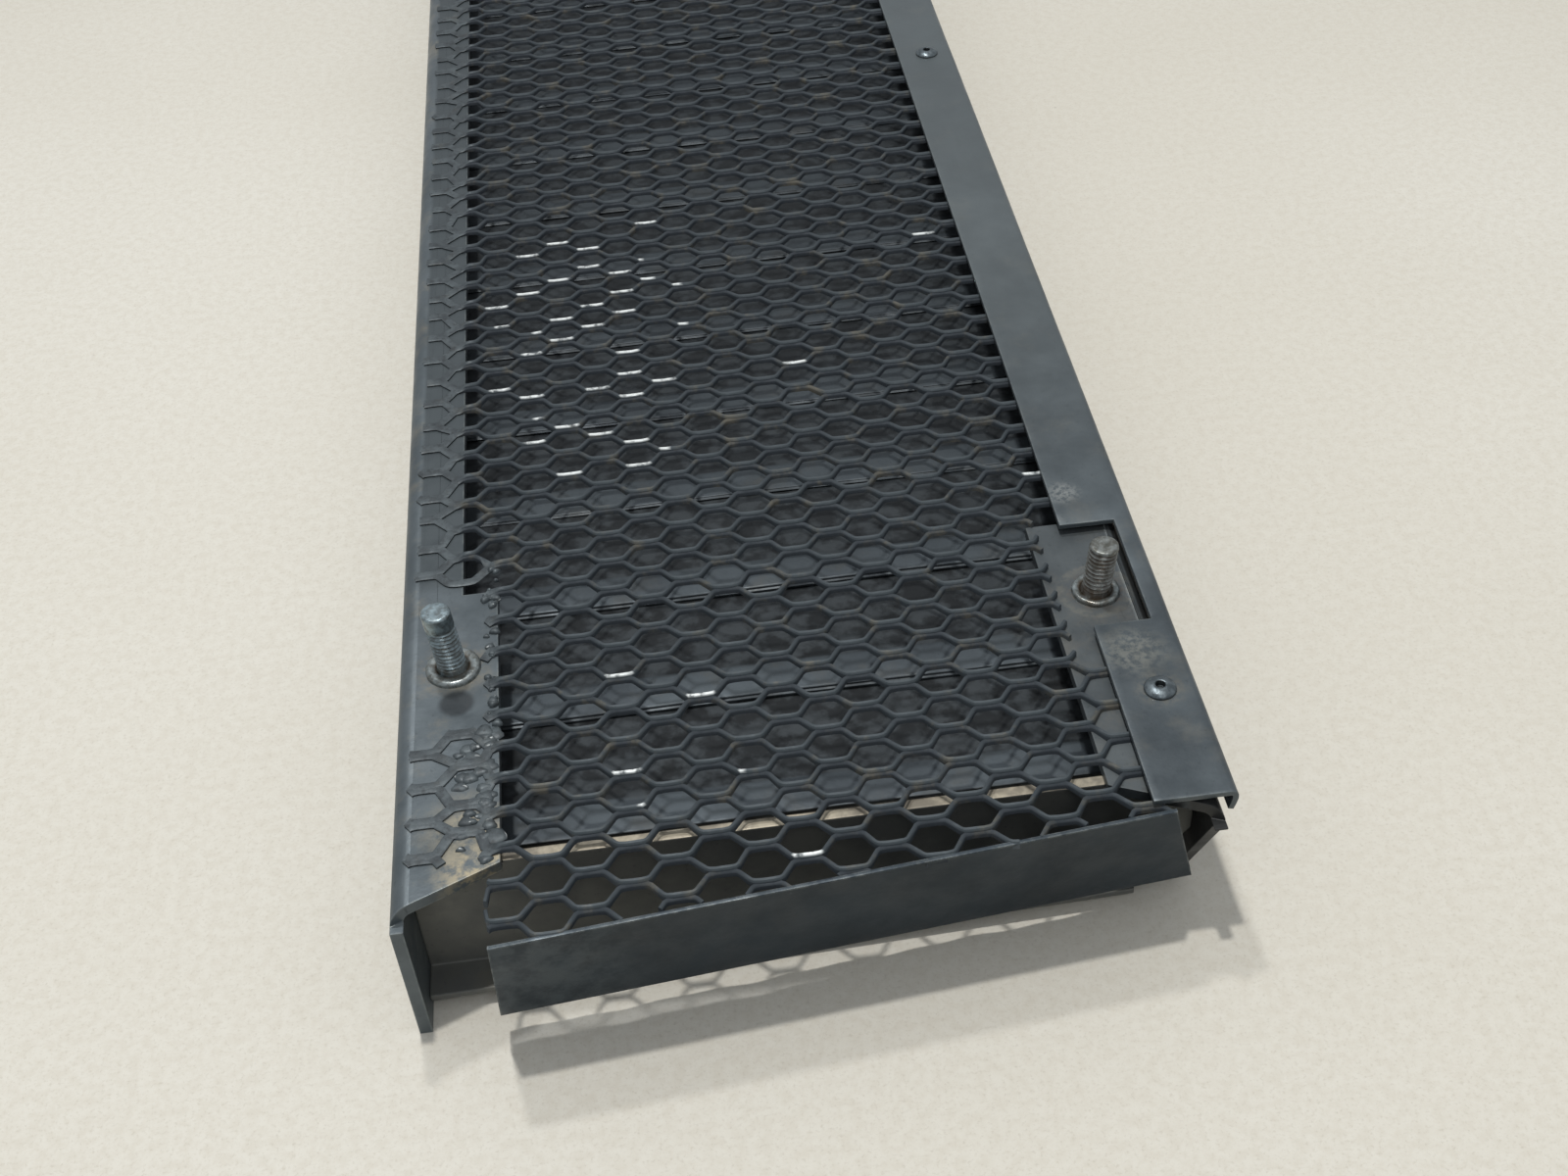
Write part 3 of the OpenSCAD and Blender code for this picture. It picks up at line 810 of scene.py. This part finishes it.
# Section of a ring (radius, height), from its bore over its crown to its outer foot.
RING_BORE, RING_WIDE = 3.2, 2.15
RING = [
    (3.2, 0.02), (3.25, 0.8), (3.4, 0.95), (3.7, 1.05), (4.1, 1.15), (4.5, 1.2), (4.85, 1.14), (5.12, 0.92),
    (5.3, 0.5), (5.35, 0.02),
]


def ring(node, centre, welded, seed):
    """The ring at a stud's root: turned on the left, a rough weld on the right."""
    r = random.Random(seed)
    waves = [(r.uniform(2, 9), r.uniform(0, 6.28)) for _ in range(4)]
    outer, height, rough = (5.0, 0.85, 0.28) if welded else (5.65, 1.0, 0.05)
    profile = [(RING_BORE + (p - RING_BORE) * (outer - RING_BORE) / RING_WIDE, z * height) for p, z in RING]

    def shape(rr, z, a):
        if rr < 3.3:
            return rr
        wave = sum(math.sin(k * a + p) for k, p in waves) / 4
        return rr + wave * rough * (rr - RING_BORE) / 2.1

    verts, faces = revolve(profile, centre, 72, shape)
    cx, cy, _ = place(*centre)
    dirt = []
    for v in verts:
        rad = math.hypot(v[0] - cx, v[1] - cy) / MM
        a = math.atan2(v[1] - cy, v[0] - cx)
        patch = 0.5 + 0.5 * math.sin(2 * a + waves[0][1])
        dirt.append(min(1.0, max(0.0, (3.9 - rad) / 0.5) + (0.55 * patch if welded else 0.15)))
    piece(node + "_ring", verts, faces, collar_mat, [node], attributes={"dirt": dirt})


# The blades, and the sections of a nose and of the first blade's plain edge. Each section point is a place
# in y and a height against the blade's top; SEEN says how lit and clean it is: less gets painted shade and
# grime.
BLADES, BLADE_FIRST, BLADE_PITCH, BLADE_TOP = 16, 28, 33, -16.0
BLADE_LEFT, BLADE_WIDE, BLADE_STEPS = 2.6, 148.3, 24  # left end, length across and its divisions
NOSE = [
    (0.75, 0.0), (0.45, -0.06), (0.3, -0.2), (0.28, -0.45), (0.2, -0.6), (0.0, -0.68), (-0.2, -0.76),
    (-0.28, -0.9), (-0.28, -1.25), (-0.15, -1.45), (0.3, -1.5), (0.9, -1.45), (1.2, -1.3), (1.3, -1.15),
]
NOSE_SEEN = [1.0, 0.8, 0.6, 0.5, 0.5, 0.5, 0.5, 0.4, 0.3, 0.2, 0.0, 0.0, 0.0, 0.0]
EDGE = [(0.5, 0.0), (0.25, -0.04), (0.12, -0.15), (0.1, -0.4), (0.1, -0.9), (0.14, -1.08), (0.3, -1.15)]
EDGE_SEEN = [1.0, 0.5, 0.2, 0.0, 0.0, 0.0, 0.0]


def louvre(number):
    """A blade: flat top, a nose with a small lip, and a leg sloping down under the next blade."""
    node = f"louvre_{number:02d}"
    r = random.Random(number * 13 + 1)
    phase, amount = r.uniform(0, 6.28), r.uniform(0.05, 0.16)
    start = BLADE_FIRST + BLADE_PITCH * (number - 1)
    step = 1.0 if number < 4 else 0.5  # the far noses hardly show in the photo
    rise = 0.0 if number < 3 else 0.75  # so the legs below them lie higher
    if number == 1:
        front, seen = EDGE, EDGE_SEEN
    else:
        front, seen = [(y, z * step) for y, z in NOSE], NOSE_SEEN
    leg = [(8.3, -1.15), (9.3, -1.25), (38.0, rise - 2.85), (38.0, rise - 1.75), (9.4, -0.12), (8.8, -0.04)]
    section = [(8.2, 0.0)] + front + leg
    # The leg and the nose's underside get painted shade and grime; the flat top gets none.
    lit_and_clean = [1.0] + seen + [0.0] * 4 + [0.1, 0.85]
    loops = []
    for i in range(BLADE_STEPS + 1):
        x = BLADE_LEFT + BLADE_WIDE * i / BLADE_STEPS
        sag = amount * math.sin(phase + x * 0.05) - 0.06
        push = 0.12 * math.sin(phase * 2 + x * 0.08)
        loop = []
        for y, z in section:
            across, drop = (push if y < 2 else 0), (sag if y < 30 else 0)
            loop.append(place(x, start + y + across, BLADE_TOP + z + drop))
        loops.append(loop)
    values = {"lit_and_clean": lit_and_clean * len(loops)}
    sweep(node + "_sheet", loops, louvre_steel, [node], attributes=values)


for number in range(1, BLADES + 1):
    louvre(number)

# Side, centre, height, material, unthreaded top, lean of the front one, and whether its collar is a weld.
STUDS = [
    ("left", STUD_LEFT, 16.0, stud_left_mat, 4.0, -1.0, False),
    ("right", STUD_RIGHT, 12.5, stud_right_mat, 0.6, 1.2, True),
]
fittings = []
for end in ("front", "rear"):
    for side, (x, y), height, material, plain_top, lean, welded in STUDS:
        if end == "rear":
            y, lean = LENGTH - y, 0.0
        fittings.append((f"{end}_{side}", (x, y), height, material, plain_top, lean, welded))
for seed, (where, centre, height, material, plain_top, lean, _) in enumerate(fittings, 1):
    threaded("stud_" + where, centre, height, material, plain_top, seed, lean)
for seed, (where, centre, *_, welded) in enumerate(fittings, 5):
    ring("collar_" + where, centre, welded, seed)

# Section of a rivet: shank, domed head with a rolled rim, and the broken stem down in its hole.
RIVET = [
    (2.4, -3.6), (2.5, -2.55), (1.6, -2.5), (1.6, 2.6), (3.1, 2.66), (3.18, 2.8), (3.12, 3.05), (2.9, 3.3),
    (2.5, 3.55), (2.0, 3.78), (1.5, 3.92), (1.15, 3.95), (0.98, 3.85), (0.9, 3.6), (0.88, 3.2),
    (0.85, 2.75), (0.6, 2.7), (0.55, 2.95), (0.3, 3.02), (0.0001, 3.0),
]


def rivets():
    """Three pop rivets, dirty in the hole and round the rim."""
    verts, faces, dirt = [], [], []
    for y in (RIVET_END, LENGTH / 2, LENGTH - RIVET_END):
        v, f = revolve(RIVET, (RIVET_X, y), 56)
        base = len(verts)
        verts += v
        faces += [[k + base for k in q] for q in f]
        for i in range(len(v)):
            rad, z = RIVET[i % len(RIVET)]
            dirt.append(1.0 if rad < 1.0 or z < 2.9 else 0.0)
    piece("rivet_heads", verts, faces, rivet_mat, ["rivets"], attributes={"dirt": dirt})


rivets()

# ---------------------------------------------------------------- carried-over CAD nodes
CARRIED = {
    "left_rail": left_steel, "right_rail": right_steel,
    "front_crossbar": crossbar_steel, "rear_crossbar": crossbar_steel,
}
for node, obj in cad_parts.items():
    if node in CARRIED:
        obj.data.materials.clear()
        obj.data.materials.append(CARRIED[node])
        soften(obj, 0.0003, 30, weld=True)

# ---------------------------------------------------------------- floor and light


def paper():
    """The bench's pale paper: faint clouds, fibres and specks."""
    n = Nodes("bench_paper")
    colour = n.mix(n.ramp(n.noise(3.0, 4, 0.5, seed=51), 0.3, 0.7), srgb(200, 196, 184), srgb(208, 205, 195))
    colour = n.mix(n.ramp(n.noise(420, 4, 0.6, seed=53), 0.35, 0.7, 0, 0.3), colour, srgb(184, 176, 160))
    colour = n.mix(n.ramp(n.noise(1300, 3, 0.7, seed=57), 0.5, 0.75, 0, 0.35), colour, srgb(160, 152, 136))
    colour = n.mix(n.ramp(n.noise(90, 5, 0.75, seed=59), 0.7, 0.76, 0, 0.5), colour, srgb(140, 132, 116))
    return n.done(colour, 0.75, 0.0, n.bump(n.noise(600, 3, 0.6, seed=55), 0.0002, 0.3))


FLOOR = 3  # half the floor's side, in metres
floor_data = bpy.data.meshes.new("bench")
corners = [(-FLOOR, -FLOOR, 0), (FLOOR, -FLOOR, 0), (FLOOR, FLOOR, 0), (-FLOOR, FLOOR, 0)]
floor_data.from_pydata(corners, [], [(0, 1, 2, 3)])
floor_data.materials.append(paper())
floor = bpy.data.objects.new("bench", floor_data)
bpy.context.scene.collection.objects.link(floor)

world = bpy.data.worlds.new("studio")
world.use_nodes = True
sky = world.node_tree.nodes["Background"]
sky.inputs["Color"].default_value = (0.93, 0.96, 1.0, 1)
sky.inputs["Strength"].default_value = 0.53
bpy.context.scene.world = world

LIT = (0, -0.25, 0)  # the near end, where all the lamps point


def lamp(name, at, size, power, colour):
    """A round area lamp."""
    data = bpy.data.lights.new(name, "AREA")
    data.shape = "DISK"
    data.size = size
    data.energy = power
    data.color = colour
    obj = bpy.data.objects.new(name, data)
    bpy.context.scene.collection.objects.link(obj)
    obj.location = at
    obj.rotation_euler = (Vector(LIT) - Vector(at)).to_track_quat("-Z", "Y").to_euler()


lamp("key", (-0.09, -0.18, 1.5), 0.06, 11, (1.0, 0.98, 0.95))
lamp("second", (-0.15, 0.28, 1.5), 0.1, 6, (0.97, 0.98, 1.0))
lamp("front", (0.05, -1.0, 1.0), 0.35, 1.8, (0.95, 0.97, 1.0))

bpy.context.scene.view_settings.view_transform = "Standard"
